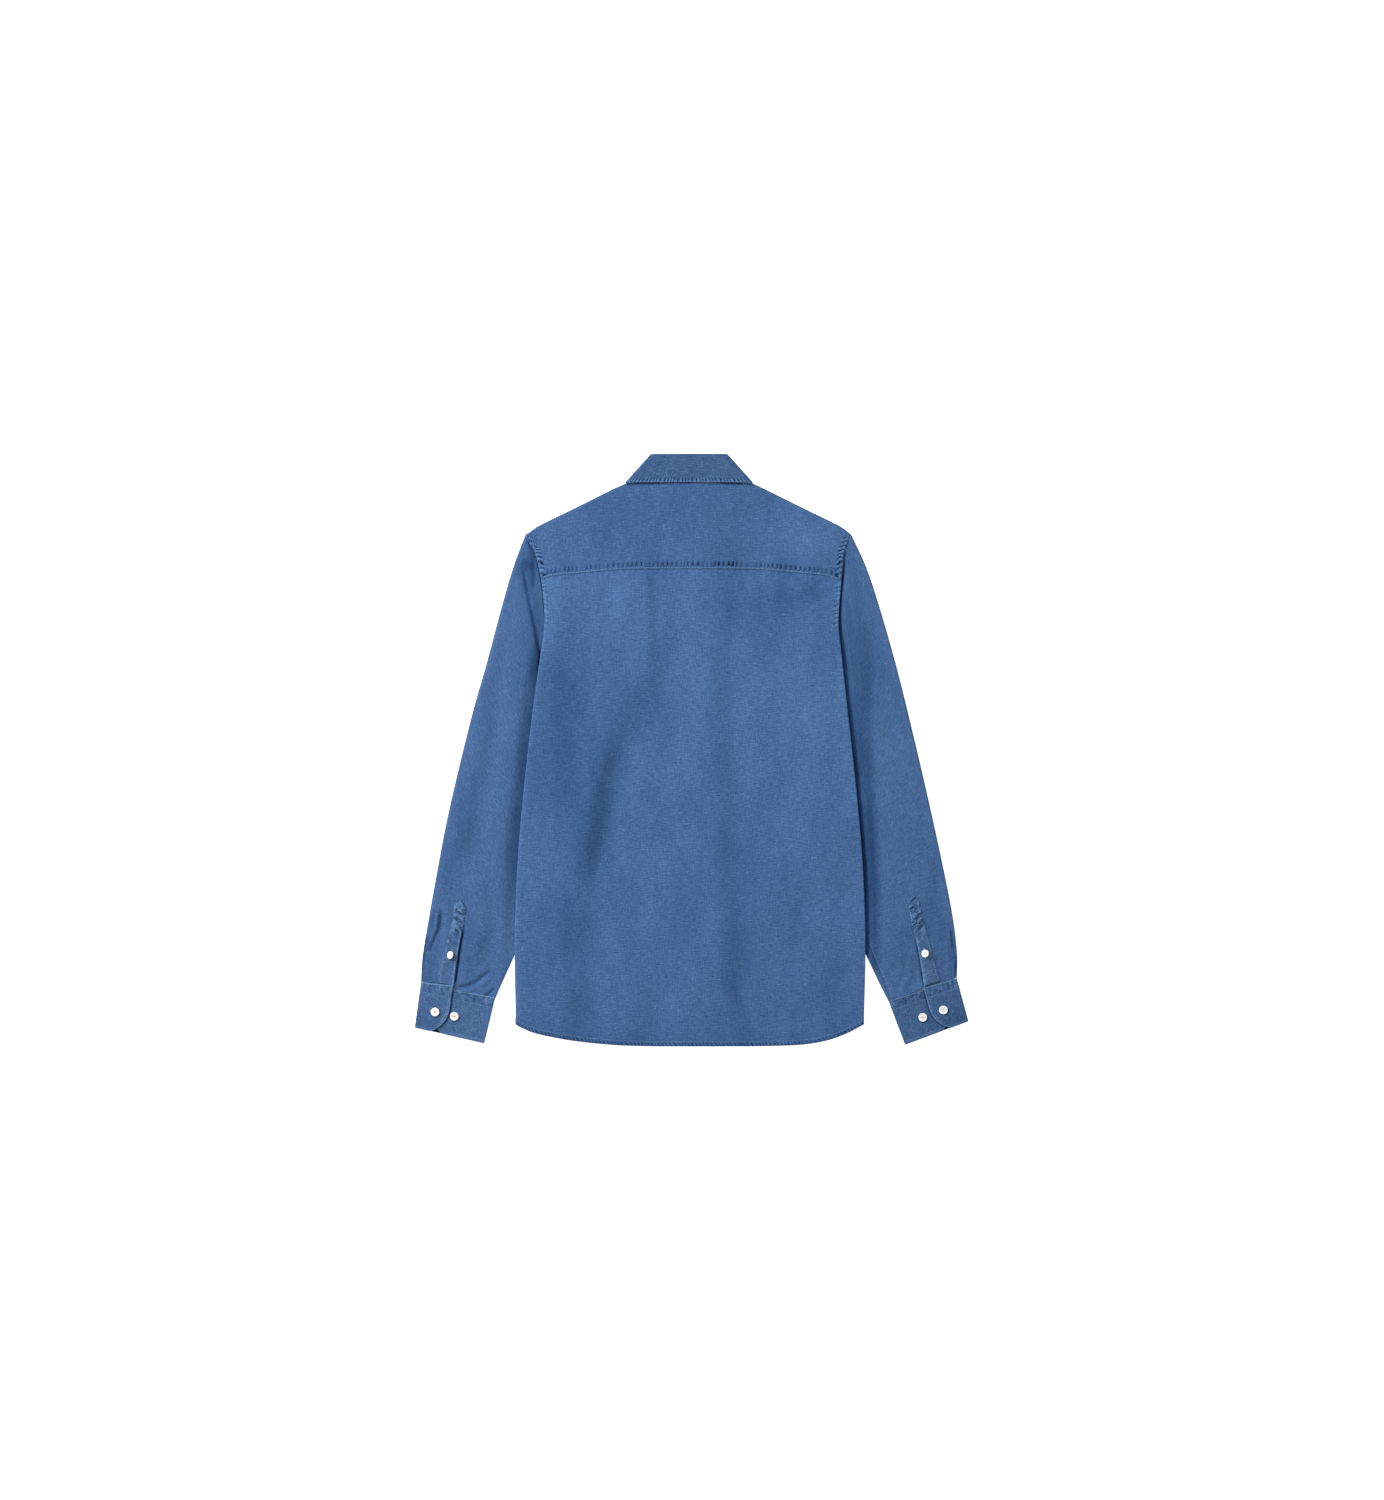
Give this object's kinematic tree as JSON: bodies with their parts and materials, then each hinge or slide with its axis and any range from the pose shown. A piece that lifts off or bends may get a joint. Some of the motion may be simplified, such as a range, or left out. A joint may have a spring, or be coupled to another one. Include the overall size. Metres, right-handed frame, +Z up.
{
  "type": "oxford shirt",
  "caption": "Long-sleeved button-front shirt with a turned-down collar, yoke and cuffs, laid out flat face down.",
  "frame": {"origin": "centre of the shirt's outline, at the surface that it lies on", "axes": "+Y along the shirt's length towards the collar, +X across it towards the sleeve on the right of the upper side, +Z up from the surface"},
  "size_m": [0.7467, 0.7986, 0.0093],
  "materials": {
    "indigo_cotton": "matt heathered blue cotton weave",
    "shell_button": "polished off-white"
  },
  "bodies": {
    "root": {"back": "indigo_cotton", "yoke": "indigo_cotton", "front_left": "indigo_cotton", "front_right": "indigo_cotton", "front_band": "indigo_cotton", "collar_leaf": "indigo_cotton", "collar_stand": "indigo_cotton", "sleeve_left": "indigo_cotton", "sleeve_right": "indigo_cotton", "cuff_left": "indigo_cotton", "cuff_right": "indigo_cotton", "sleeve_placket_left": "indigo_cotton", "sleeve_placket_right": "indigo_cotton", "front_button_0": "shell_button", "front_button_1": "shell_button", "front_button_2": "shell_button", "front_button_3": "shell_button", "front_button_4": "shell_button", "front_button_5": "shell_button", "front_button_6": "shell_button", "front_button_7": "shell_button", "cuff_button_left_1": "shell_button", "cuff_button_left_2": "shell_button", "cuff_button_right_1": "shell_button", "cuff_button_right_2": "shell_button", "placket_button_left": "shell_button", "placket_button_right": "shell_button"}
  },
  "joints": []
}
